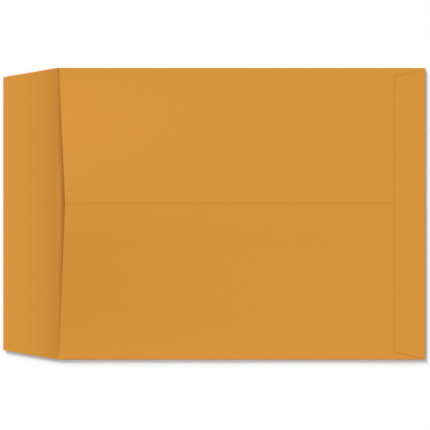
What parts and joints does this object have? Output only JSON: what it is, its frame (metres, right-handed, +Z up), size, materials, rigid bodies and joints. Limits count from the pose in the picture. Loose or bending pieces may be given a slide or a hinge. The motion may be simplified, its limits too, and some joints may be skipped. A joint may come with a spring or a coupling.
{
  "type": "paper envelope",
  "caption": "Large open-end kraft paper envelope with a lapped centre seam, a glued bottom flap and its seal flap open.",
  "frame": {"origin": "middle of the front panel's resting face, halfway between the seal flap's crease and the bottom fold and halfway between the side folds", "axes": "+X from the seal flap's crease towards the bottom fold, along the length; +Y across the width, away from the side fold that carries the upper seam panel; +Z up, out of the seam side"},
  "size_m": [0.4226, 0.2922, 0.0055],
  "materials": {
    "kraft": "matte golden-brown kraft paper, machine-finished"
  },
  "bodies": {
    "root": {"envelope": "kraft"}
  },
  "joints": []
}
